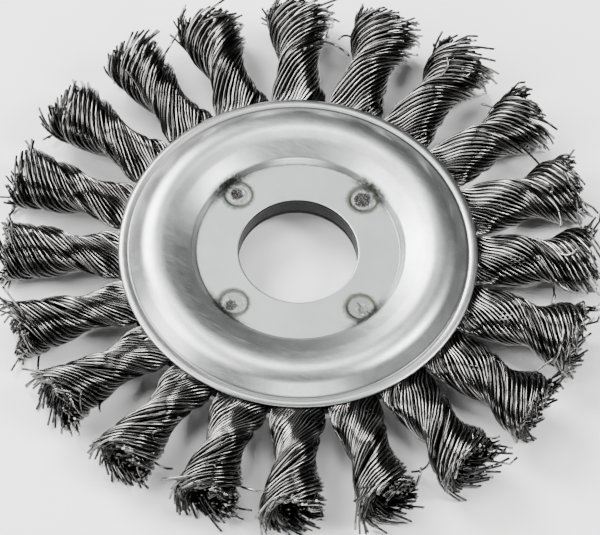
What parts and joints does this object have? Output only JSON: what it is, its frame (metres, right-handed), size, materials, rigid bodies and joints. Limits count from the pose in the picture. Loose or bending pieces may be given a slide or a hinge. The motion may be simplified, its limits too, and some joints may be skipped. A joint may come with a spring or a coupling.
{
  "type": "wire wheel brush",
  "caption": "Knotted wire wheel: bunches of steel wire twisted outside a core disc, clamped between two pressed cover plates with a central bore.",
  "frame": {"origin": "centre of the bore on the wheel's middle plane", "axes": "+Z along the bore, towards cover_plate_top; +X along the middle of knot_01"},
  "size_m": [0.109, 0.109, 0.0128],
  "materials": {
    "cover_steel": "bright pressed sheet, fine grain, matte on the flat seat",
    "core_steel": "plain rolled steel, cut edges",
    "wire_steel": "drawn hard steel wire, bright on the high side and dark between wires"
  },
  "bodies": {
    "root": {"core_disc": "core_steel", "cover_plate_top": "cover_steel", "cover_plate_bottom": "cover_steel", "knot_01": "wire_steel", "knot_02": "wire_steel", "knot_03": "wire_steel", "knot_04": "wire_steel", "knot_05": "wire_steel", "knot_06": "wire_steel", "knot_07": "wire_steel", "knot_08": "wire_steel", "knot_09": "wire_steel", "knot_10": "wire_steel", "knot_11": "wire_steel", "knot_12": "wire_steel", "knot_13": "wire_steel", "knot_14": "wire_steel", "knot_15": "wire_steel", "knot_16": "wire_steel", "knot_17": "wire_steel", "knot_18": "wire_steel", "knot_19": "wire_steel", "knot_20": "wire_steel"}
  },
  "joints": []
}
